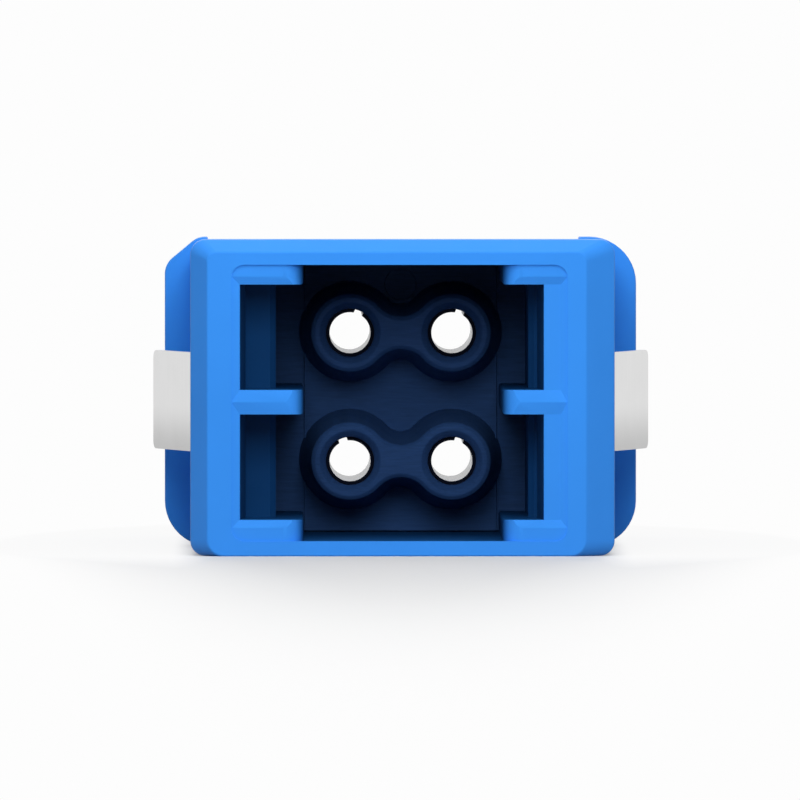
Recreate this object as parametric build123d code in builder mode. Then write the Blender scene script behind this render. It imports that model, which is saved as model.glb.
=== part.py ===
from build123d import *
import math
import os

# Fibre optic adapter for two very small duplex plugs, one above the other, in millimetres.
# X runs across the face, Y into the adapter and Z up. The front half lies on the -Y side of
# the weld plane at Y = 0, and the underside rests at Z = 0. Distances called "from weld" are
# measured from the weld plane towards a face.

# Outline of the moulded body
body_width = 12.75
body_height = 9.5
half_length = 12.0
body_corner = 0.45
bezel_depth = 2.4
top_relief = 0.3

# Bevels round the face, one for each side
nose_depth = 0.6
bevel_left = 0.51
bevel_right = 0.86
bevel_top = 0.36
face_corner_top = 0.28
face_corner_bottom = 0.5

# Mounting flange round the middle
flange_width = 14.4
flange_height = 9.45
flange_half_thickness = 1.0
flange_corner = 1.4
flange_key_width = 1.0
flange_key_drop = 0.83
flange_key_blend = 0.6
flange_gap_left = 5.89
flange_gap_right = 5.46

# Ports, ferrules and their pitches
port_pitch = 3.9
port_height = 3.17
port_middle = 4.624
ferrule_pitch = 3.1
ferrule_diameter = 1.25

# Mouth of the socket
opening_bottom = 0.45
opening_top = 8.75
mouth_left = 5.14
mouth_right = 4.95
mouth_corner = 0.39
ridge_sink = 0.05
lead_in_sink = 0.12
lead_in_rise = 0.24
lead_in_left = 0.25
lead_in_right = 0.2

# Inside of the socket
rib_gap_left = 2.98
rib_gap_right = 3.0
rib_end_round = 0.6
rib_edge_round = 0.08
pocket_left = 4.89
pocket_right = 4.245
pocket_draft = 0.17
latch_depth = 3.0
corridor_half = 3.81
corridor_lead_in = 0.17

# Sleeve holder, one in each half
holder_half_width = 4.9
plate_thickness = 1.0
holder_clearance = 0.03
pad_height = 0.08
barrel_base_radius = 1.55
barrel_end_radius = 1.17
waist_base_half = 0.86
boss_rim_bevel = 0.1
lip_thickness = 0.37
lip_bore_radius = 0.74
lip_bore_draft = 0.015
countersink_radius = 0.93
countersink_depth = 0.2
ejector_radius = 0.47
ejector_height = 8.02
ejector_sink = 0.05

# Split alignment sleeve
sleeve_wall = 0.185
sleeve_length = 7.0
sleeve_slit = 0.27
sleeve_clearance = 0.03
sleeve_end_clearance = 0.03
sleeve_end_chamfer = 0.04

# Panel clip, folded from one sheet
sheet = 0.2
clip_gap = 0.02
clip_seat_depth = 0.3
clip_band_width = 2.2
clip_side_clearance = 0.1
clip_arm_bottom = 1.4
tab_height = 3.0
tab_middle = 4.54
tab_spread = 7.55
tab_bend_round = 0.3
tab_corner = 0.25
tab_pocket_clearance = 0.2
panel_thickness = 1.6

# Worked out from the sizes above
half_width = body_width / 2
ferrule_radius = ferrule_diameter / 2
port_heights = [port_middle - port_pitch / 2, port_middle + port_pitch / 2]
ridge_heights = [
    port_heights[0] - port_height / 2 - lead_in_rise,
    port_middle,
    port_heights[1] + port_height / 2 + lead_in_rise,
]
bezel_rear = half_length - bezel_depth
latch_ledge = half_length - latch_depth
lead_in_depth = half_length - lead_in_sink
rib_middle = (rib_gap_right + corridor_half) / 2
sleeve_outer_radius = ferrule_radius + sleeve_wall
cage_radius = sleeve_outer_radius + sleeve_clearance
cage_length = sleeve_length / 2 + sleeve_end_clearance
boss_end = cage_length + lip_thickness
boss_height = boss_end - plate_thickness
boss_draft = math.degrees(math.atan2(barrel_base_radius - barrel_end_radius, boss_height))
countersink_start = boss_end - countersink_depth
clip_seat_rear = bezel_rear - clip_band_width - 2 * clip_side_clearance
clip_band_rear = clip_seat_rear + clip_side_clearance
tab_end = flange_half_thickness + panel_thickness
slit_angles = {
    "top_left": 23,
    "top_right": 21,
    "bottom_left": -19,
    "bottom_right": 19,
}


def rounded_box(left, right, bottom, top, radius_bottom, radius_top):
    """A rectangle between four limits, with one radius for its lower and one for its upper corners."""
    with BuildSketch() as outline:
        with Locations(((left + right) / 2, (bottom + top) / 2)):
            Rectangle(right - left, top - bottom)
        corners = outline.vertices().group_by(Axis.Y)
        fillet(corners[0], radius_bottom)
        fillet(outline.vertices().group_by(Axis.Y)[-1], radius_top)
    return outline.sketch


def plain_box(left, right, bottom, top):
    """A rectangle between four limits."""
    with BuildSketch() as outline:
        with Locations(((left + right) / 2, (bottom + top) / 2)):
            Rectangle(right - left, top - bottom)
    return outline.sketch


def dog_bone(barrel_radius, waist_half):
    """Two round barrels at the ferrule pitch and the waisted web between them."""
    half_pitch = ferrule_pitch / 2
    web_radius = (waist_half**2 + half_pitch**2 - barrel_radius**2) / (2 * (barrel_radius - waist_half))
    share = barrel_radius / (barrel_radius + web_radius)
    touch_x = half_pitch * (1 - share)
    touch_y = (waist_half + web_radius) * share
    reach = half_pitch + barrel_radius
    with BuildSketch() as outline:
        with BuildLine():
            ThreePointArc((touch_x, touch_y), (reach, 0), (touch_x, -touch_y))
            ThreePointArc((touch_x, -touch_y), (0, -waist_half), (-touch_x, -touch_y))
            ThreePointArc((-touch_x, -touch_y), (-reach, 0), (-touch_x, touch_y))
            ThreePointArc((-touch_x, touch_y), (0, waist_half), (touch_x, touch_y))
        make_face()
    return outline.sketch


# Moulded half shared by the front and the rear, drawn as the front one
with BuildPart() as shell:
    # Body behind the bezel, a little lower than the bezel
    with BuildSketch(Plane.XZ):
        add(rounded_box(-half_width, half_width, 0, body_height - top_relief, body_corner, body_corner))
    extrude(amount=bezel_rear)

    # Bezel, and its nose with a different bevel on each side
    with BuildSketch(Plane.XZ.offset(bezel_rear)):
        add(rounded_box(-half_width, half_width, 0, body_height, body_corner, body_corner))
    extrude(amount=bezel_depth - nose_depth)
    with BuildSketch(Plane.XZ.offset(half_length - nose_depth)):
        add(rounded_box(-half_width, half_width, 0, body_height, body_corner, body_corner))
    with BuildSketch(Plane.XZ.offset(half_length)):
        add(
            rounded_box(
                bevel_left - half_width,
                half_width - bevel_right,
                0,
                body_height - bevel_top,
                face_corner_bottom,
                face_corner_top,
            )
        )
    loft()

    # Flange wings, with a key cut on one upper corner and a gap along the top
    with BuildSketch(Plane.XZ) as flange:
        with Locations((0, flange_height / 2)):
            Rectangle(flange_width, flange_height)
        right_side = flange.vertices().group_by(Axis.X)[-1]
        fillet(right_side, flange_corner)
        lower_left = flange.vertices().group_by(Axis.X)[0].sort_by(Axis.Y)[0]
        fillet(lower_left, flange_corner)
        left_side = flange.edges().sort_by(Axis.X)[0]
        upper_left = left_side.vertices().sort_by(Axis.Y)[-1]
        chamfer(upper_left, flange_key_drop, flange_key_width, reference=left_side)
        key_ends = flange.vertices().sort_by_distance((-flange_width / 2, flange_height))[:2]
        fillet(key_ends, flange_key_blend)
        add(
            plain_box(-flange_gap_left, flange_gap_right, body_height - top_relief, body_height),
            mode=Mode.SUBTRACT,
        )
    extrude(amount=flange_half_thickness)

    # Socket: both ports and the open middle between the guide ribs
    with BuildSketch(Plane.XZ) as socket:
        add(plain_box(-rib_gap_left, rib_gap_right, opening_bottom, opening_top))
        for height in port_heights:
            add(
                plain_box(
                    -corridor_half, corridor_half, height - port_height / 2, height + port_height / 2
                )
            )
        rib_corners = socket.vertices().filter_by(
            lambda v: abs(v.X) < rib_middle and ridge_heights[0] < v.Y < ridge_heights[-1]
        )
        fillet(rib_corners, rib_edge_round)
    extrude(amount=half_length, mode=Mode.SUBTRACT)

    # Latch pocket on the left of each port and key pocket on its right, both drafted
    for height in port_heights:
        low = height - port_height / 2
        high = height + port_height / 2
        for mouth_edge, side in ((pocket_left, -1), (pocket_right, 1)):
            pocket = (lead_in_depth, mouth_edge, latch_ledge, mouth_edge - pocket_draft)
            lead_in_end = latch_ledge - corridor_lead_in
            lead_in = (latch_ledge, corridor_half + corridor_lead_in, lead_in_end, corridor_half)
            for near, wide, far, narrow in (pocket, lead_in):
                with BuildSketch(Plane.XZ.offset(near)):
                    add(plain_box(*sorted((side * rib_middle, side * wide)), low, high))
                with BuildSketch(Plane.XZ.offset(far)):
                    add(plain_box(*sorted((side * rib_middle, side * narrow)), low, high))
                loft(mode=Mode.SUBTRACT)

    # Shallow recess round the mouth, down to the rib ridges
    with BuildSketch(Plane.XZ.offset(half_length)):
        add(rounded_box(-mouth_left, mouth_right, opening_bottom, opening_top, mouth_corner, mouth_corner))
    extrude(amount=-ridge_sink, mode=Mode.SUBTRACT)

    # Bevelled lead-in of each port, which leaves a ridge along every rib
    for height, ridge_low, ridge_high in zip(port_heights, ridge_heights, ridge_heights[1:]):
        with BuildSketch(Plane.XZ.offset(half_length - ridge_sink)):
            add(plain_box(-mouth_left, mouth_right, ridge_low, ridge_high))
        with BuildSketch(Plane.XZ.offset(lead_in_depth)):
            add(
                plain_box(
                    lead_in_left - mouth_left,
                    mouth_right - lead_in_right,
                    height - port_height / 2,
                    height + port_height / 2,
                )
            )
        loft(mode=Mode.SUBTRACT)

    # Rounded inner ends of the ribs, seen from above
    with BuildSketch(Plane.XY.offset(opening_bottom)):
        front = ridge_sink - half_length
        with BuildLine():
            Line((-rib_gap_left - rib_end_round, front), (rib_gap_right + rib_end_round, front))
            RadiusArc(
                (rib_gap_right + rib_end_round, front),
                (rib_gap_right, front + rib_end_round),
                rib_end_round,
            )
            Line((rib_gap_right, front + rib_end_round), (-rib_gap_left, front + rib_end_round))
            RadiusArc(
                (-rib_gap_left, front + rib_end_round),
                (-rib_gap_left - rib_end_round, front),
                rib_end_round,
            )
        make_face()
    extrude(amount=opening_top - opening_bottom, mode=Mode.SUBTRACT)

    # Seat of the sleeve holder, open at the weld plane
    with BuildSketch(Plane.XZ):
        add(plain_box(-holder_half_width, holder_half_width, opening_bottom, opening_top))
    extrude(amount=plate_thickness, mode=Mode.SUBTRACT)

# Outline that the clip wraps, where the body is cut back to seat it
with BuildSketch(Plane.XZ) as clip_seat:
    add(
        rounded_box(
            clip_seat_depth - half_width,
            half_width - clip_seat_depth,
            0,
            body_height - clip_seat_depth,
            body_corner,
            body_corner,
        )
    )

# Front half, with the seat of the clip and a pocket for each of its tabs
with BuildPart() as housing_front:
    add(shell.part)
    with BuildSketch(Plane.XZ.offset(clip_seat_rear)):
        add(plain_box(-half_width, half_width, clip_arm_bottom - clip_side_clearance, body_height))
        add(clip_seat.sketch, mode=Mode.SUBTRACT)
    extrude(amount=bezel_rear - clip_seat_rear, mode=Mode.SUBTRACT)
    pocket_half = tab_height / 2 + tab_pocket_clearance
    with BuildSketch(Plane.XZ.offset(tab_end - tab_pocket_clearance)):
        for left in (-half_width, half_width - clip_seat_depth):
            add(plain_box(left, left + clip_seat_depth, tab_middle - pocket_half, tab_middle + pocket_half))
    extrude(amount=clip_seat_rear - tab_end + tab_pocket_clearance, mode=Mode.SUBTRACT)
housing_front.part.label = "housing_front"

# Rear half, mirrored about the weld plane, so that both plugs latch on the same side. Its top is
# one level from the flange to the rear face, without the step up to a bezel.
with BuildPart() as housing_rear:
    mirror(shell.part, about=Plane.XZ)
    with BuildSketch(Plane.XZ.offset(-half_length)):
        add(plain_box(-half_width, half_width, body_height - top_relief, body_height))
    extrude(amount=bezel_depth, mode=Mode.SUBTRACT)
housing_rear.part.label = "housing_rear"

# Sleeve holder: a plate with a dog-bone boss for each port
with BuildPart() as sleeve_holder_front:
    with BuildSketch(Plane.XZ):
        add(
            plain_box(
                holder_clearance - holder_half_width,
                holder_half_width - holder_clearance,
                opening_bottom + holder_clearance,
                opening_top - holder_clearance,
            )
        )
    extrude(amount=plate_thickness)

    # Raised pad that stands between the ribs
    with BuildSketch(Plane.XZ.offset(plate_thickness)):
        add(
            plain_box(
                holder_clearance - rib_gap_left,
                rib_gap_left - holder_clearance,
                opening_bottom + holder_clearance,
                opening_top - holder_clearance,
            )
        )
    extrude(amount=pad_height)
    for height in port_heights:
        with BuildSketch(Plane.XZ.shift_origin((0, 0, height)).offset(plate_thickness)):
            add(dog_bone(barrel_base_radius, waist_base_half))
        extrude(amount=boss_height, taper=boss_draft)
    rims = sleeve_holder_front.faces().group_by(Axis.Y)[0].edges()
    chamfer(rims, boss_rim_bevel)

    # Cage for each half sleeve, closed by a drafted lip that the ferrule passes through
    for height in port_heights:
        for side in (-1, 1):
            axis_plane = Plane.XZ.shift_origin((side * ferrule_pitch / 2, 0, height))
            with BuildSketch(axis_plane):
                Circle(cage_radius)
            extrude(amount=cage_length, mode=Mode.SUBTRACT)
            lip_bore = (cage_length, lip_bore_radius - lip_bore_draft, countersink_start, lip_bore_radius)
            countersink = (countersink_start, lip_bore_radius, boss_end, countersink_radius)
            for start, start_radius, end, end_radius in (lip_bore, countersink):
                with BuildSketch(axis_plane.offset(start)):
                    Circle(start_radius)
                with BuildSketch(axis_plane.offset(end)):
                    Circle(end_radius)
                loft(mode=Mode.SUBTRACT)

    # Round mark left by an ejector pin
    with BuildSketch(Plane.XZ.shift_origin((0, 0, ejector_height)).offset(plate_thickness + pad_height)):
        Circle(ejector_radius)
    extrude(amount=-ejector_sink, mode=Mode.SUBTRACT)
sleeve_holder_front.part.label = "sleeve_holder_front"

with BuildPart() as sleeve_holder_rear:
    mirror(sleeve_holder_front.part, about=Plane.XZ)
sleeve_holder_rear.part.label = "sleeve_holder_rear"

# Split sleeves, each slit turned as it settled in its cage
sleeves = {}
for place, slit_angle in slit_angles.items():
    height = port_heights[1] if place.startswith("top") else port_heights[0]
    side = -1 if place.endswith("left") else 1
    sleeve_plane = Plane.XZ.shift_origin((side * ferrule_pitch / 2, 0, height)).offset(-sleeve_length / 2)
    with BuildPart() as split_sleeve:
        with BuildSketch(sleeve_plane):
            Circle(sleeve_outer_radius)
            Circle(ferrule_radius, mode=Mode.SUBTRACT)
        extrude(amount=sleeve_length)
        outer_rims = split_sleeve.edges().filter_by(GeomType.CIRCLE).sort_by(SortBy.RADIUS)[-2:]
        chamfer(outer_rims, sleeve_end_chamfer)
        with BuildSketch(sleeve_plane):
            with Locations(Location((0, 0), -slit_angle)):
                with Locations((0, sleeve_outer_radius)):
                    Rectangle(sleeve_slit, 2 * sleeve_outer_radius - ferrule_radius)
        extrude(amount=sleeve_length, mode=Mode.SUBTRACT)
    split_sleeve.part.label = f"split_sleeve_{place}"
    sleeves[place] = split_sleeve.part

# Panel clip: a band over the top and down both sides, with a sprung tab on each side
with BuildPart() as panel_clip:
    with BuildSketch(Plane.XZ.offset(clip_band_rear)):
        offset(clip_seat.sketch, amount=clip_gap + sheet)
        offset(clip_seat.sketch, amount=clip_gap, mode=Mode.SUBTRACT)
        add(plain_box(-flange_width, flange_width, -flange_width, clip_arm_bottom), mode=Mode.SUBTRACT)
    extrude(amount=clip_band_width)
    arm_inside = half_width - clip_seat_depth + clip_gap
    arm_outside = arm_inside + sheet
    tab_run = clip_band_rear - tab_end
    tab_angle = math.atan2(tab_spread - arm_outside, tab_run)
    with BuildSketch(Plane.XY.offset(tab_middle - tab_height / 2)) as tabs:
        with BuildLine():
            Polyline(
                (arm_inside, -clip_band_rear - sheet),
                (arm_outside, -clip_band_rear - sheet),
                (arm_outside, -clip_band_rear),
                (tab_spread, -tab_end),
                (tab_spread - sheet * math.cos(tab_angle), sheet * math.sin(tab_angle) - tab_end),
                (arm_inside, sheet * math.tan(tab_angle / 2) - clip_band_rear),
                close=True,
            )
        make_face()
        bend = tabs.vertices().sort_by_distance((arm_outside, -clip_band_rear))[0]
        fillet(bend, tab_bend_round)
        bend = tabs.vertices().sort_by_distance((arm_inside, -clip_band_rear))[0]
        fillet(bend, tab_bend_round + sheet)
        mirror(about=Plane.YZ)
    extrude(amount=tab_height)
    tab_ends = panel_clip.faces().sort_by(Axis.Y)[-2:]
    fillet(tab_ends.edges().filter_by(lambda edge: edge.length < 2 * sheet), tab_corner)
panel_clip.part.label = "panel_clip"

os.makedirs("parts", exist_ok=True)
export_step(housing_front.part, "parts/housing_front.step")
export_step(housing_rear.part, "parts/housing_rear.step")
export_step(sleeve_holder_front.part, "parts/sleeve_holder_front.step")
export_step(sleeve_holder_rear.part, "parts/sleeve_holder_rear.step")
for place, sleeve in sleeves.items():
    export_step(sleeve, f"parts/split_sleeve_{place}.step")
export_step(panel_clip.part, "parts/panel_clip.step")
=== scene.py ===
import math

import bmesh
import bpy
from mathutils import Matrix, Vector


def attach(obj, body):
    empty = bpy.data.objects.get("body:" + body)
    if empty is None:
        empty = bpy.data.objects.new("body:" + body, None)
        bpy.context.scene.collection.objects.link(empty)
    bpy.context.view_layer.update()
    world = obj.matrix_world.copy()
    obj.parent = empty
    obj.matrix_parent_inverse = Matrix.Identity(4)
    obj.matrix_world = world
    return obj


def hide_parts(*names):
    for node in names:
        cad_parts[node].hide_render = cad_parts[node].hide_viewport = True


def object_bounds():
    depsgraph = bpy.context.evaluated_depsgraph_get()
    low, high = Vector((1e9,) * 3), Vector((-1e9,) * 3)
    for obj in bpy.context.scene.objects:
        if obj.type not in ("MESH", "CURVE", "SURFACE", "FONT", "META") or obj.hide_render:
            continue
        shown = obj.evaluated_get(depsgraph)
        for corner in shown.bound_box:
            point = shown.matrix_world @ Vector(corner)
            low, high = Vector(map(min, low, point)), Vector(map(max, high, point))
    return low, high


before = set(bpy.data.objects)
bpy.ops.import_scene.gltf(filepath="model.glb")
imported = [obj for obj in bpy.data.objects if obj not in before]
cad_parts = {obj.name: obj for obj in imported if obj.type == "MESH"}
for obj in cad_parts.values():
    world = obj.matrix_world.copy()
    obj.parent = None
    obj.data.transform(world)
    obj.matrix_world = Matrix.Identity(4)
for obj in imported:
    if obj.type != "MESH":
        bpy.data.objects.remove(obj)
cad_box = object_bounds()

bl_info = {
    "name": "Fibre Optic Adapter",
    "version": (1, 0, 0),
    "blender": (4, 5, 0),
    "location": "View3D > Sidebar > Adapter",
    "description": "Dresses the pieces of a fibre optic adapter and sets the stage round it",
    "category": "Object",
}

MM = 0.001
BODY = "root"

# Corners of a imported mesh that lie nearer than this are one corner
JOIN_DISTANCE = 0.006 * MM
# Faces that turn by less than this are one flat face
FLAT_ANGLE = math.radians(1.0)
# Normals that differ by more than this on the two sides of a line show a crease
CREASE_ANGLE = math.radians(2.0)
# Faces that turn by more than this meet at an edge, and less is a step of a curve
EDGE_ANGLE = math.radians(20)

# The span that holds nearly all values of a noise
NOISE_SPAN = {"From Min": 0.3, "From Max": 0.7}
BACKGROUND = "#FDFDFD"

HOUSINGS = ("housing_front", "housing_rear")
HOLDERS = ("sleeve_holder_front", "sleeve_holder_rear")
SLEEVES = (
    "split_sleeve_top_left",
    "split_sleeve_top_right",
    "split_sleeve_bottom_left",
    "split_sleeve_bottom_right",
)
CLIP = "panel_clip"


def linear(hex_colour):
    """The linear red, green and blue of an sRGB hex colour."""
    values = [int(hex_colour[i : i + 2], 16) / 255 for i in (1, 3, 5)]
    return tuple(v / 12.92 if v <= 0.04045 else ((v + 0.055) / 1.055) ** 2.4 for v in values)


class HousingSettings(bpy.types.PropertyGroup):
    colour: bpy.props.FloatVectorProperty(
        name="Colour",
        description="Colour of the moulded housing",
        subtype="COLOR",
        min=0,
        max=1,
        default=linear("#3A93F5"),
    )
    # Painted shade: the darker colour inside the mouth stands for the shade deep in the sockets
    mouth_shade_colour: bpy.props.FloatVectorProperty(
        name="Core colour",
        description="Colour of the housing inside the mouth",
        subtype="COLOR",
        min=0,
        max=1,
        default=linear("#103F72"),
    )
    outer_round: bpy.props.FloatProperty(
        name="Outer edge radius",
        description="Rounding of the edges outside the socket",
        unit="LENGTH",
        precision=5,
        default=0.045 * MM,
    )


class HolderSettings(bpy.types.PropertyGroup):
    colour: bpy.props.FloatVectorProperty(
        name="Colour",
        description="Colour of the moulded sleeve holder",
        subtype="COLOR",
        min=0,
        max=1,
        default=linear("#2E4E80"),
    )
    edge_round: bpy.props.FloatProperty(
        name="Edge radius",
        description="Rounding of the bosses and their countersinks",
        unit="LENGTH",
        precision=5,
        default=0.03 * MM,
    )


class SleeveSettings(bpy.types.PropertyGroup):
    colour: bpy.props.FloatVectorProperty(
        name="Colour",
        description="Colour of the ceramic split sleeves",
        subtype="COLOR",
        min=0,
        max=1,
        # Partly painted shade: the cool white is toned darker and bluer for the shade of the blue
        # housing round the sleeves
        default=linear("#C8CCDC"),
    )
    # Painted shade: the near-black sawn ends stand for the shade they lie in behind the holder's
    # lip
    painted_end_shade: bpy.props.FloatVectorProperty(
        name="End colour",
        description="Colour of the sleeves' sawn ends",
        subtype="COLOR",
        min=0,
        max=1,
        default=linear("#0A0F1E"),
    )


class ClipSettings(bpy.types.PropertyGroup):
    colour: bpy.props.FloatVectorProperty(
        name="Colour",
        description="Colour of the stainless steel",
        subtype="COLOR",
        min=0,
        max=1,
        default=linear("#DDDDDD"),
    )
    edge_round: bpy.props.FloatProperty(
        name="Edge radius",
        description="Rounding that tumbling leaves on the stamped edges",
        unit="LENGTH",
        precision=5,
        default=0.03 * MM,
    )


class StageSettings(bpy.types.PropertyGroup):
    camera_distance: bpy.props.FloatProperty(
        name="Camera distance",
        description="From the camera to the front face",
        unit="LENGTH",
        default=600 * MM,
    )
    look_down: bpy.props.FloatProperty(
        name="Look down",
        description="How far the camera is tilted below the horizon",
        subtype="ANGLE",
        default=math.radians(1.135),
    )
    look_across: bpy.props.FloatProperty(
        name="Look across",
        description="How far the camera is turned towards the right",
        subtype="ANGLE",
        default=math.radians(0.344),
    )
    key_level: bpy.props.FloatProperty(
        name="Key light",
        description="Brightness that each high front lamp gives a white card facing it",
        default=0.28,
    )
    front_level: bpy.props.FloatProperty(
        name="Front light",
        description="Brightness that the low front lamp gives a white card facing it",
        default=0.38,
    )
    back_level: bpy.props.FloatProperty(
        name="Back light",
        description="Brightness that each rear lamp gives a white card facing it",
        default=0.32,
    )
    ambient: bpy.props.FloatProperty(
        name="Ambient light",
        description="Brightness of the light that comes from all round",
        default=0.085,
    )


# The materials, all made with one node function
def add_node(tree, kind, settings=None, inputs=None):
    """Adds a node, with its settings. Each input gets a value, or a link if an output is given."""
    node = tree.nodes.new(kind)
    for name, value in (settings or {}).items():
        setattr(node, name, value)
    for socket, given in (inputs or {}).items():
        if isinstance(given, bpy.types.NodeSocket):
            tree.links.new(given, node.inputs[socket])
        else:
            node.inputs[socket].default_value = given
    return node


def seen_by_eye(tree):
    """1 for the rays of the camera and for those that gloss and glass send on, 0 for cast light."""
    path = add_node(tree, "ShaderNodeLightPath").outputs
    seen = path["Is Camera Ray"]
    for ray in ("Is Glossy Ray", "Is Transmission Ray"):
        rays = {0: seen, 1: path[ray]}
        seen = add_node(tree, "ShaderNodeMath", {"operation": "MAXIMUM"}, rays).outputs[0]
    return seen


def new_material(name):
    """An empty material, with its node tree."""
    material = bpy.data.materials.new(name)
    material.use_nodes = True
    material.node_tree.nodes.clear()
    return material, material.node_tree


def tones(colour, darkest, lightest):
    """The two ends of a soft change of tone, as shares of a linear colour, for a Mix node."""
    dark = (*(darkest * c for c in colour), 1)
    light = (*(min(1.0, lightest * c) for c in colour), 1)
    return {"A": dark, "B": light}


def moulded_housing(name, colour, mouth_shade_colour):
    """Moulded PBT: an even satin blue. The spark-eroded mould leaves a fine grain and the flow of
    the melt a very soft change of tone. Inside the mouth the colour is painted darker, a painted
    shade for the deep sockets, and the surface is rougher."""
    grain_size = 0.07 * MM  # the real grain is about 0.02 mm, too fine to show
    grain_depth = 0.0012 * MM
    flow_size = 3.0 * MM
    gloss_size = 0.5 * MM
    smoothest = 0.36
    roughest = 0.44
    # Painted shade: in this box inside the mouth the colour is darkened for the shade deep in the
    # sockets
    mouth_shade_half_width = 5.0 * MM
    mouth_shade_low = 0.44 * MM
    mouth_shade_high = 8.76 * MM
    mouth_shade_start = 11.92 * MM
    mouth_shade_full = 11.4 * MM
    mouth_dulling = 0.2
    material, tree = new_material(name)
    place = add_node(tree, "ShaderNodeTexCoord").outputs["Object"]
    axes = add_node(tree, "ShaderNodeSeparateXYZ", inputs={"Vector": place}).outputs
    depth = add_node(tree, "ShaderNodeMath", {"operation": "ABSOLUTE"}, {0: axes["Y"]})
    reach = add_node(tree, "ShaderNodeMath", {"operation": "ABSOLUTE"}, {0: axes["X"]})
    inward = add_node(
        tree,
        "ShaderNodeMapRange",
        {"interpolation_type": "SMOOTHSTEP"},
        {"Value": depth.outputs[0], "From Min": mouth_shade_start, "From Max": mouth_shade_full},
    )
    inside = inward.outputs["Result"]
    limits = (
        ("LESS_THAN", reach.outputs[0], mouth_shade_half_width),
        ("GREATER_THAN", axes["Z"], mouth_shade_low),
        ("LESS_THAN", axes["Z"], mouth_shade_high),
    )
    for comparison, value, limit in limits:
        within = add_node(tree, "ShaderNodeMath", {"operation": comparison}, {0: value, 1: limit})
        factors = {0: inside, 1: within.outputs[0]}
        inside = add_node(tree, "ShaderNodeMath", {"operation": "MULTIPLY"}, factors).outputs[0]
    flow = add_node(tree, "ShaderNodeTexNoise", inputs={"Vector": place, "Scale": 1 / flow_size})
    outer_tone = add_node(
        tree,
        "ShaderNodeMix",
        {"data_type": "RGBA"},
        {"Factor": flow.outputs["Fac"], **tones(colour, darkest=0.95, lightest=1.05)},
    )
    # Painted shade: the darker tone used inside the mouth
    mouth_shade_tone = add_node(
        tree,
        "ShaderNodeMix",
        {"data_type": "RGBA"},
        {"Factor": flow.outputs["Fac"], **tones(mouth_shade_colour, darkest=0.9, lightest=1.1)},
    )
    tone = add_node(
        tree,
        "ShaderNodeMix",
        {"data_type": "RGBA"},
        {"Factor": inside, "A": outer_tone.outputs["Result"], "B": mouth_shade_tone.outputs["Result"]},
    )
    cloud = add_node(
        tree,
        "ShaderNodeTexNoise",
        inputs={"Vector": place, "Scale": 1 / gloss_size, "Detail": 3.0},
    )
    gloss = add_node(
        tree,
        "ShaderNodeMapRange",
        inputs={
            "Value": cloud.outputs["Fac"],
            **NOISE_SPAN,
            "To Min": smoothest,
            "To Max": roughest,
        },
    )
    roughness = add_node(
        tree,
        "ShaderNodeMath",
        {"operation": "MULTIPLY_ADD"},
        {0: inside, 1: mouth_dulling, 2: gloss.outputs["Result"]},
    )
    grain = add_node(tree, "ShaderNodeTexNoise", inputs={"Vector": place, "Scale": 1 / grain_size})
    bump = add_node(
        tree,
        "ShaderNodeBump",
        inputs={"Height": grain.outputs["Fac"], "Distance": grain_depth},
    )
    shader = add_node(
        tree,
        "ShaderNodeBsdfPrincipled",
        inputs={
            "Base Color": tone.outputs["Result"],
            "Roughness": roughness.outputs[0],
            "Normal": bump.outputs["Normal"],
            "IOR": 1.5,
            "Specular IOR Level": 0.16,
        },
    )
    add_node(tree, "ShaderNodeOutputMaterial", inputs={"Surface": shader.outputs["BSDF"]})
    return material


def moulded_holder(name, colour):
    """Moulded PBT, navy and nearly matt. The polishing of the mould's core leaves faint streaks
    along X."""
    grain_size = 0.07 * MM  # the real grain is about 0.02 mm, too fine to show
    grain_depth = 0.001 * MM
    streak_height = 0.06 * MM
    streak_stretch = 0.08
    streak_depth = 0.001 * MM
    cloud_size = 1.0 * MM
    smoothest = 0.42
    roughest = 0.52
    material, tree = new_material(name)
    place = add_node(tree, "ShaderNodeTexCoord").outputs["Object"]
    along = add_node(
        tree,
        "ShaderNodeMapping",
        inputs={"Vector": place, "Scale": (streak_stretch, 1, 1)},
    )
    streaks = add_node(
        tree,
        "ShaderNodeTexNoise",
        inputs={
            "Vector": along.outputs["Vector"],
            "Scale": 1 / streak_height,
            "Detail": 3.0,
            "Roughness": 0.7,
        },
    )
    spread = add_node(
        tree,
        "ShaderNodeMapRange",
        inputs={"Value": streaks.outputs["Fac"], **NOISE_SPAN},
    )
    tone = add_node(
        tree,
        "ShaderNodeMix",
        {"data_type": "RGBA"},
        {"Factor": spread.outputs["Result"], **tones(colour, darkest=0.85, lightest=1.15)},
    )
    cloud = add_node(
        tree,
        "ShaderNodeTexNoise",
        inputs={"Vector": place, "Scale": 1 / cloud_size, "Detail": 3.0},
    )
    roughness = add_node(
        tree,
        "ShaderNodeMapRange",
        inputs={
            "Value": cloud.outputs["Fac"],
            **NOISE_SPAN,
            "To Min": smoothest,
            "To Max": roughest,
        },
    )
    grain = add_node(tree, "ShaderNodeTexNoise", inputs={"Vector": place, "Scale": 1 / grain_size})
    grain_bump = add_node(
        tree,
        "ShaderNodeBump",
        inputs={"Height": grain.outputs["Fac"], "Distance": grain_depth},
    )
    bump = add_node(
        tree,
        "ShaderNodeBump",
        inputs={
            "Height": streaks.outputs["Fac"],
            "Distance": streak_depth,
            "Normal": grain_bump.outputs["Normal"],
        },
    )
    shader = add_node(
        tree,
        "ShaderNodeBsdfPrincipled",
        inputs={
            "Base Color": tone.outputs["Result"],
            "Roughness": roughness.outputs["Result"],
            "Normal": bump.outputs["Normal"],
            "IOR": 1.5,
            "Specular IOR Level": 0.1,
        },
    )
    add_node(tree, "ShaderNodeOutputMaterial", inputs={"Surface": shader.outputs["BSDF"]})
    return material


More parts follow.
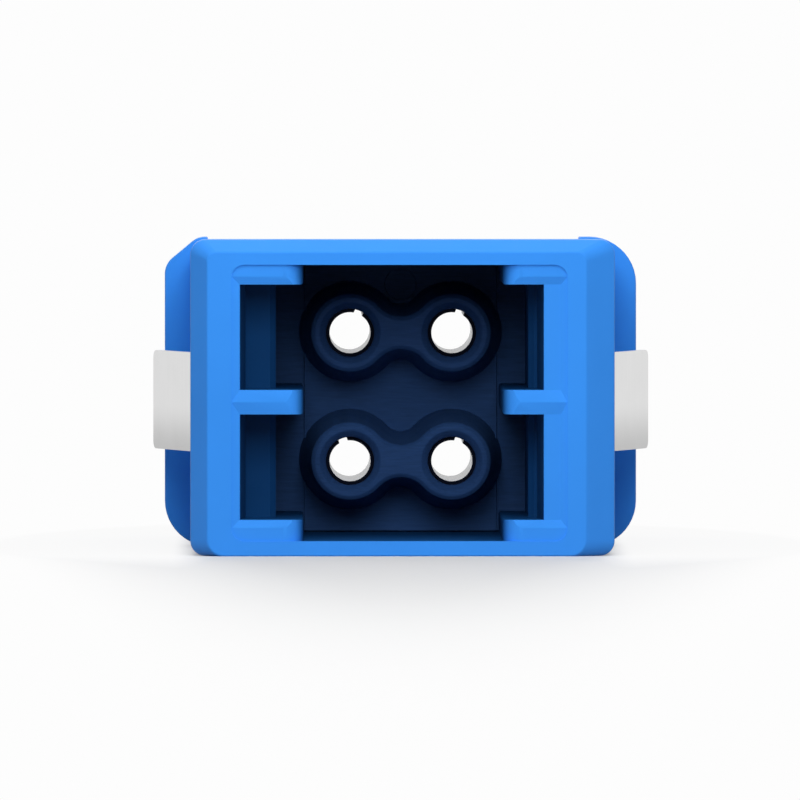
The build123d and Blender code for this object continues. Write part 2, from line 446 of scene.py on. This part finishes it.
def zirconia_ceramic(name, colour, painted_end_shade):
    """Ground and lapped zirconia: dense, cool white with a soft gloss, toned a little darker and
    bluer as painted shade from the blue housing round it. Deep in the bores little light reaches
    it, so its gloss is held back here. The sawn ends are rough, and their near-black colour is
    painted shade."""
    cloud_size = 0.8 * MM
    grinding_size = 0.04 * MM
    grinding_depth = 0.0004 * MM
    end_from = 3.46 * MM
    end_to = 3.49 * MM
    wall_roughness = 0.2
    end_roughness = 0.8
    material, tree = new_material(name)
    place = add_node(tree, "ShaderNodeTexCoord").outputs["Object"]
    axes = add_node(tree, "ShaderNodeSeparateXYZ", inputs={"Vector": place}).outputs
    depth = add_node(tree, "ShaderNodeMath", {"operation": "ABSOLUTE"}, {0: axes["Y"]})
    at_end = add_node(
        tree,
        "ShaderNodeMapRange",
        inputs={"Value": depth.outputs[0], "From Min": end_from, "From Max": end_to},
    ).outputs["Result"]
    cloud = add_node(tree, "ShaderNodeTexNoise", inputs={"Vector": place, "Scale": 1 / cloud_size})
    wall = add_node(
        tree,
        "ShaderNodeMix",
        {"data_type": "RGBA"},
        {"Factor": cloud.outputs["Fac"], **tones(colour, darkest=0.94, lightest=1.04)},
    )
    # Painted shade: the sawn ends are darkened to near black
    tone = add_node(
        tree,
        "ShaderNodeMix",
        {"data_type": "RGBA"},
        {"Factor": at_end, "A": wall.outputs["Result"], "B": (*painted_end_shade, 1)},
    )
    roughness = add_node(
        tree,
        "ShaderNodeMapRange",
        inputs={"Value": at_end, "To Min": wall_roughness, "To Max": end_roughness},
    )
    grinding = add_node(
        tree,
        "ShaderNodeTexNoise",
        inputs={"Vector": place, "Scale": 1 / grinding_size},
    )
    bump = add_node(
        tree,
        "ShaderNodeBump",
        inputs={"Height": grinding.outputs["Fac"], "Distance": grinding_depth},
    )
    shader = add_node(
        tree,
        "ShaderNodeBsdfPrincipled",
        inputs={
            "Base Color": tone.outputs["Result"],
            "Roughness": roughness.outputs["Result"],
            "Normal": bump.outputs["Normal"],
            "IOR": 1.5,
            "Specular IOR Level": 0.25,
        },
    )
    add_node(tree, "ShaderNodeOutputMaterial", inputs={"Surface": shader.outputs["BSDF"]})
    return material


def rolled_stainless(name, colour):
    """Cold-rolled stainless spring steel: pale grey with a soft sheen and a fine grain across the
    band, which runs up the sides and over the top. Towards the lower edge the colour is darkened,
    a painted shade."""
    line_spacing = 0.1 * MM  # the real grain is finer and wouldn't show
    line_stretch = 0.02
    line_depth = 0.0005 * MM
    smear_size = 1.2 * MM
    smoothest = 0.33
    roughest = 0.38
    # Painted shade: below these heights the steel is darkened towards black
    low_shade_from = 4.5 * MM
    low_shade_to = 3.0 * MM
    low_shade_strength = 0.33
    black = (0.0, 0.0, 0.0, 1.0)
    material, tree = new_material(name)
    place = add_node(tree, "ShaderNodeTexCoord").outputs["Object"]
    axes = add_node(tree, "ShaderNodeSeparateXYZ", inputs={"Vector": place}).outputs
    along = add_node(
        tree,
        "ShaderNodeMapping",
        inputs={"Vector": place, "Scale": (line_stretch, 1, line_stretch)},
    )
    lines = add_node(
        tree,
        "ShaderNodeTexNoise",
        inputs={
            "Vector": along.outputs["Vector"],
            "Scale": 1 / line_spacing,
            "Detail": 4.0,
            "Roughness": 0.7,
        },
    )
    even_tone = add_node(
        tree,
        "ShaderNodeMix",
        {"data_type": "RGBA"},
        {"Factor": lines.outputs["Fac"], **tones(colour, darkest=0.96, lightest=1.04)},
    )
    # Painted shade: darker towards the lower edge of the tabs
    low = add_node(
        tree,
        "ShaderNodeMapRange",
        {"interpolation_type": "SMOOTHSTEP"},
        {"Value": axes["Z"], "From Min": low_shade_from, "From Max": low_shade_to, "To Max": low_shade_strength},
    )
    tone = add_node(
        tree,
        "ShaderNodeMix",
        {"data_type": "RGBA"},
        {"Factor": low.outputs["Result"], "A": even_tone.outputs["Result"], "B": black},
    )
    smear = add_node(
        tree,
        "ShaderNodeTexNoise",
        inputs={"Vector": place, "Scale": 1 / smear_size, "Detail": 3.0},
    )
    roughness = add_node(
        tree,
        "ShaderNodeMapRange",
        inputs={
            "Value": smear.outputs["Fac"],
            **NOISE_SPAN,
            "To Min": smoothest,
            "To Max": roughest,
        },
    )
    bump = add_node(
        tree,
        "ShaderNodeBump",
        inputs={"Height": lines.outputs["Fac"], "Distance": line_depth},
    )
    shader = add_node(
        tree,
        "ShaderNodeBsdfPrincipled",
        inputs={
            "Base Color": tone.outputs["Result"],
            "Metallic": 1.0,
            "Roughness": roughness.outputs["Result"],
            "Normal": bump.outputs["Normal"],
        },
    )
    add_node(tree, "ShaderNodeOutputMaterial", inputs={"Surface": shader.outputs["BSDF"]})
    return material


def grid_place(point):
    """A point's place on a grid as fine as the joins, so that corners that coincide share it."""
    return tuple(round(c / JOIN_DISTANCE) for c in point)


def crease_lines(mesh):
    """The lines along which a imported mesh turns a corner, told by the normals beside them."""
    places = [grid_place(vertex.co) for vertex in mesh.vertices]
    beside = {}
    for face in mesh.polygons:
        corners = [
            (places[mesh.loops[i].vertex_index], mesh.corner_normals[i].vector)
            for i in face.loop_indices
        ]
        for start, end in zip(corners, corners[1:] + corners[:1]):
            beside.setdefault(frozenset((start[0], end[0])), []).append(dict((start, end)))
    creases = set()
    for line, sides in beside.items():
        if len(sides) == 2 and len(line) == 2:
            first, second = sides
            if any(first[place].angle(second[place]) > CREASE_ANGLE for place in line):
                creases.add(line)
    return creases


def whole_form(node):
    """A CAD node's form as one closed mesh, its flat faces whole and its creases sharp."""
    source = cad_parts[node].data
    creases = crease_lines(source)
    form = bmesh.new()
    form.from_mesh(source)
    for face in form.faces:
        face.smooth = True
    for edge in form.edges:
        edge.smooth = frozenset(grid_place(v.co) for v in edge.verts) not in creases
    bmesh.ops.remove_doubles(form, verts=form.verts, dist=JOIN_DISTANCE)
    bmesh.ops.dissolve_degenerate(form, edges=form.edges, dist=JOIN_DISTANCE)
    bmesh.ops.dissolve_limit(form, angle_limit=FLAT_ANGLE, verts=form.verts, edges=form.edges)
    for edge in form.edges:
        if edge.calc_face_angle(0.0) > EDGE_ANGLE:
            edge.smooth = False
    return form


def rounded_piece(node, name, material, radius, is_rounded=lambda middle: True):
    """A piece with a CAD node's form. Its outward edges are rounded where is_rounded says so for
    their middle, and its other edges stay crisp."""
    form = whole_form(node)
    weight = form.edges.layers.float.new("bevel_weight_edge")
    for edge in form.edges:
        middle = (edge.verts[0].co + edge.verts[1].co) / 2
        turns = edge.is_manifold and edge.is_convex and edge.calc_face_angle() > EDGE_ANGLE
        if turns and not edge.smooth and is_rounded(middle):
            edge[weight] = 1.0
            edge.smooth = True
    mesh = bpy.data.meshes.new(name)
    form.to_mesh(mesh)
    form.free()
    mesh.materials.append(material)
    piece = bpy.data.objects.new(name, mesh)
    bpy.context.scene.collection.objects.link(piece)
    rounding = piece.modifiers.new("Rounding", "BEVEL")
    rounding.limit_method = "WEIGHT"
    rounding.width = radius
    rounding.segments = 3
    rounding.use_clamp_overlap = False
    rounding.loop_slide = False
    evening = piece.modifiers.new("Even shading", "WEIGHTED_NORMAL")
    evening.keep_sharp = True
    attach(piece, BODY)
    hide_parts(node)


class ADAPTER_OT_dress_housings(bpy.types.Operator):
    """Round the moulded edges of both housing halves and give them their plastic"""

    bl_idname = "adapter.dress_housings"
    bl_label = "Dress housings"
    bl_options = {"REGISTER", "UNDO"}

    def execute(self, context):
        settings = context.scene.adapter_housing
        colours = tuple(settings.colour), tuple(settings.mouth_shade_colour)
        material = moulded_housing("Moulded blue PBT", *colours)
        radius = settings.outer_round
        mouth_reach = 5.3 * MM
        mouth_low = 0.3 * MM
        mouth_high = 8.9 * MM

        def is_outside(middle):
            return abs(middle.x) > mouth_reach or not mouth_low < middle.z < mouth_high

        for node in HOUSINGS:
            name = f"{node}_moulding"
            rounded_piece(node, name, material, radius, is_outside)
        return {"FINISHED"}


class ADAPTER_OT_dress_holders(bpy.types.Operator):
    """Round the edges of both sleeve holders and give them their plastic"""

    bl_idname = "adapter.dress_holders"
    bl_label = "Dress sleeve holders"
    bl_options = {"REGISTER", "UNDO"}

    def execute(self, context):
        settings = context.scene.adapter_holder
        material = moulded_holder("Moulded navy PBT", tuple(settings.colour))
        for node in HOLDERS:
            name = f"{node}_moulding"
            rounded_piece(node, name, material, settings.edge_round)
        return {"FINISHED"}


class ADAPTER_OT_dress_sleeves(bpy.types.Operator):
    """Give the four split sleeves their ceramic"""

    bl_idname = "adapter.dress_sleeves"
    bl_label = "Dress split sleeves"
    bl_options = {"REGISTER", "UNDO"}

    def execute(self, context):
        settings = context.scene.adapter_sleeve
        colours = tuple(settings.colour), tuple(settings.painted_end_shade)
        material = zirconia_ceramic("Polished zirconia", *colours)
        for node in SLEEVES:
            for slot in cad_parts[node].material_slots:
                slot.link = "OBJECT"
                slot.material = material
        return {"FINISHED"}


class ADAPTER_OT_dress_clip(bpy.types.Operator):
    """Soften the stamped edges of the panel clip and give it its steel"""

    bl_idname = "adapter.dress_clip"
    bl_label = "Dress panel clip"
    bl_options = {"REGISTER", "UNDO"}

    def execute(self, context):
        settings = context.scene.adapter_clip
        material = rolled_stainless("Rolled stainless steel", tuple(settings.colour))
        rounded_piece(CLIP, f"{CLIP}_spring", material, settings.edge_round)
        return {"FINISHED"}


class ADAPTER_OT_set_stage(bpy.types.Operator):
    """Set the camera, the surroundings, the soft lamps and the floor"""

    bl_idname = "adapter.set_stage"
    bl_label = "Set stage"
    bl_options = {"REGISTER", "UNDO"}

    def execute(self, context):
        settings = context.scene.adapter_stage
        set_camera(context.scene, settings)
        set_surroundings(context.scene, settings)
        set_lamps(context.scene, settings)
        set_floor(context.scene)
        context.scene.view_settings.view_transform = "Standard"
        return {"FINISHED"}


def direction(azimuth, elevation):
    """The direction from the object to a place. Azimuth 0 is in front of it, and a quarter turn
    is on the right."""
    level = math.cos(elevation)
    return Vector((math.sin(azimuth) * level, -math.cos(azimuth) * level, math.sin(elevation)))


def set_camera(scene, settings):
    """A long lens that looks into the front socket, a little from above and from the left."""
    frame_pixels = 800
    face_pixels_per_mm = 33.32
    face_in_frame = frame_pixels / face_pixels_per_mm * MM
    aim_across = -0.0795 * MM
    aim_height = 4.694 * MM
    aim = Vector((aim_across, cad_box[0].y, aim_height))
    distance = settings.camera_distance
    data = bpy.data.cameras.new("Camera")
    data.sensor_width = 36
    data.lens = data.sensor_width * distance / face_in_frame
    data.clip_start = distance / 10
    data.clip_end = distance * 10
    camera = bpy.data.objects.new("Camera", data)
    scene.collection.objects.link(camera)
    towards = direction(-settings.look_across, settings.look_down)
    camera.location = aim + distance * towards
    camera.rotation_euler = (-towards).to_track_quat("-Z", "Y").to_euler()
    scene.camera = camera


def set_surroundings(scene, settings):
    """A white room for the camera, gloss and glass, and a dimmer one for the light it casts."""
    world = bpy.data.worlds.new("White room")
    world.use_nodes = True
    scene.world = world
    tree = world.node_tree
    tree.nodes.clear()
    white = (*linear(BACKGROUND), 1)
    cast = add_node(
        tree,
        "ShaderNodeBackground",
        inputs={"Color": white, "Strength": settings.ambient},
    )
    shown = add_node(tree, "ShaderNodeBackground", inputs={"Color": white, "Strength": 1.0})
    both = add_node(
        tree,
        "ShaderNodeMixShader",
        inputs={
            0: seen_by_eye(tree),
            1: cast.outputs["Background"],
            2: shown.outputs["Background"],
        },
    )
    add_node(tree, "ShaderNodeOutputWorld", inputs={"Surface": both.outputs["Shader"]})


def add_lamp(scene, name, towards, distance, size, level):
    """A square soft lamp that faces the object. Level is the brightness it gives a white card that
    faces it. Gloss shows only the white room, so that no lamp's glare hides a colour."""
    middle = (cad_box[0] + cad_box[1]) / 2
    data = bpy.data.lights.new(name, "AREA")
    data.shape = "SQUARE"
    data.size = size
    data.energy = level * math.pi**2 * distance**2
    lamp = bpy.data.objects.new(name, data)
    scene.collection.objects.link(lamp)
    lamp.location = middle + distance * towards
    lamp.rotation_euler = (-towards).to_track_quat("-Z", "Y").to_euler()
    lamp.visible_camera = False
    lamp.visible_glossy = False


def set_lamps(scene, settings):
    """Soft lamps above the front on both sides, a lower one before it, and two above the rear."""
    distance = 70 * MM
    wide = 36 * MM
    narrow = 24 * MM
    front_lift = math.radians(18)
    key_turn = math.radians(18)
    key_lift = math.radians(50)
    back_turn = math.radians(155)
    back_lift = math.radians(45)
    to_front = direction(0, front_lift)
    add_lamp(scene, "Front", to_front, distance, narrow, settings.front_level)
    for side, name in ((-1, "left"), (1, "right")):
        to_key = direction(side * key_turn, key_lift)
        to_back = direction(side * back_turn, back_lift)
        add_lamp(scene, f"Key {name}", to_key, distance, wide, settings.key_level)
        add_lamp(scene, f"Back {name}", to_back, distance, wide, settings.back_level)


def set_floor(scene):
    """A pale sheet under and behind the object, which falls away in a wide curve before it."""
    half_span = 300 * MM
    sweep_radius = 30 * MM
    sweep_steps = 32
    brink = cad_box[0].y
    sheet = bmesh.new()
    ends = [sheet.verts.new((side * half_span, half_span, 0)) for side in (-1, 1)]
    line = [sheet.edges.new(ends)]
    extruded = bmesh.ops.extrude_edge_only(sheet, edges=line)["geom"]
    brink_verts = [item for item in extruded if isinstance(item, bmesh.types.BMVert)]
    bmesh.ops.translate(sheet, verts=brink_verts, vec=(0, brink - half_span, 0))
    bmesh.ops.spin(
        sheet,
        geom=[item for item in extruded if not isinstance(item, bmesh.types.BMFace)],
        cent=(0, brink, -sweep_radius),
        axis=(1, 0, 0),
        angle=math.radians(90),
        steps=sweep_steps,
        use_merge=False,
    )
    bmesh.ops.recalc_face_normals(sheet, faces=sheet.faces)
    for face in sheet.faces:
        face.smooth = True
    mesh = bpy.data.meshes.new("Floor")
    sheet.to_mesh(mesh)
    sheet.free()
    mesh.materials.append(floor_paper("Matt white paper"))
    floor = bpy.data.objects.new("Floor", mesh)
    scene.collection.objects.link(floor)


def floor_paper(name):
    """Matt white background paper. It shows the soft shadow near the object. The camera, gloss
    and glass see it fade to plain white further off, in an oval and at the object's sides, and it
    casts less light back than it shows."""
    clear_from = 17 * MM
    clear_to = 31 * MM
    side_squeeze = 2.3
    side_from = 5.6 * MM
    side_to = 7.0 * MM
    beside_share = 0.92
    level_drop = 0.4 * MM
    near_colour = (*linear("#E4E4E4"), 1)
    cast_colour = (*linear("#A4A4A4"), 1)
    far_colour = (*linear(BACKGROUND), 1)
    material, tree = new_material(name)
    place = add_node(tree, "ShaderNodeTexCoord").outputs["Object"]
    axes = add_node(tree, "ShaderNodeSeparateXYZ", inputs={"Vector": place}).outputs
    oval = add_node(
        tree,
        "ShaderNodeMapping",
        inputs={"Vector": place, "Scale": (side_squeeze, 1, 1)},
    ).outputs["Vector"]
    away = add_node(tree, "ShaderNodeVectorMath", {"operation": "LENGTH"}, {0: oval})
    distant = add_node(
        tree,
        "ShaderNodeMapRange",
        {"interpolation_type": "SMOOTHSTEP"},
        {"Value": away.outputs["Value"], "From Min": clear_from, "From Max": clear_to},
    )
    reach = add_node(tree, "ShaderNodeMath", {"operation": "ABSOLUTE"}, {0: axes["X"]})
    sideways = add_node(
        tree,
        "ShaderNodeMapRange",
        {"interpolation_type": "SMOOTHSTEP"},
        {
            "Value": reach.outputs[0],
            "From Min": side_from,
            "From Max": side_to,
            "To Max": beside_share,
        },
    )
    level = add_node(
        tree,
        "ShaderNodeMapRange",
        inputs={"Value": axes["Z"], "From Min": -level_drop, "From Max": 0.0},
    )
    beside = add_node(
        tree,
        "ShaderNodeMath",
        {"operation": "MULTIPLY"},
        {0: sideways.outputs["Result"], 1: level.outputs["Result"]},
    )
    clear = add_node(
        tree,
        "ShaderNodeMath",
        {"operation": "MAXIMUM"},
        {0: distant.outputs["Result"], 1: beside.outputs[0]},
    )
    near = add_node(tree, "ShaderNodeBsdfDiffuse", inputs={"Color": near_colour})
    cast = add_node(tree, "ShaderNodeBsdfDiffuse", inputs={"Color": cast_colour})
    far = add_node(tree, "ShaderNodeEmission", inputs={"Color": far_colour, "Strength": 1.0})
    shown = add_node(
        tree,
        "ShaderNodeMixShader",
        inputs={0: clear.outputs[0], 1: near.outputs["BSDF"], 2: far.outputs["Emission"]},
    )
    both = add_node(
        tree,
        "ShaderNodeMixShader",
        inputs={0: seen_by_eye(tree), 1: cast.outputs["BSDF"], 2: shown.outputs["Shader"]},
    )
    add_node(tree, "ShaderNodeOutputMaterial", inputs={"Surface": both.outputs["Shader"]})
    return material


class ADAPTER_PT_pieces(bpy.types.Panel):
    """Lists the settings and the steps that dress the adapter"""

    bl_idname = "ADAPTER_PT_pieces"
    bl_label = "Fibre optic adapter"
    bl_space_type = "VIEW_3D"
    bl_region_type = "UI"
    bl_category = "Adapter"

    def draw(self, context):
        for operator, settings_name, _ in STEPS:
            settings = getattr(context.scene, settings_name)
            box = self.layout.box()
            for name in settings.bl_rna.properties.keys():
                if name not in ("rna_type", "name"):
                    box.prop(settings, name)
            box.operator(operator.bl_idname)


# Each step's operator, and the scene property and the class of its settings
STEPS = (
    (ADAPTER_OT_set_stage, "adapter_stage", StageSettings),
    (ADAPTER_OT_dress_housings, "adapter_housing", HousingSettings),
    (ADAPTER_OT_dress_holders, "adapter_holder", HolderSettings),
    (ADAPTER_OT_dress_sleeves, "adapter_sleeve", SleeveSettings),
    (ADAPTER_OT_dress_clip, "adapter_clip", ClipSettings),
)


def register():
    for operator, settings_name, settings_class in STEPS:
        bpy.utils.register_class(settings_class)
        setattr(bpy.types.Scene, settings_name, bpy.props.PointerProperty(type=settings_class))
        bpy.utils.register_class(operator)
    bpy.utils.register_class(ADAPTER_PT_pieces)


def unregister():
    bpy.utils.unregister_class(ADAPTER_PT_pieces)
    for operator, settings_name, settings_class in reversed(STEPS):
        bpy.utils.unregister_class(operator)
        delattr(bpy.types.Scene, settings_name)
        bpy.utils.unregister_class(settings_class)


def main():
    """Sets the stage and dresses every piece."""
    register()
    bpy.ops.adapter.set_stage()
    bpy.ops.adapter.dress_housings()
    bpy.ops.adapter.dress_holders()
    bpy.ops.adapter.dress_sleeves()
    bpy.ops.adapter.dress_clip()


if __name__ == "__main__":
    main()
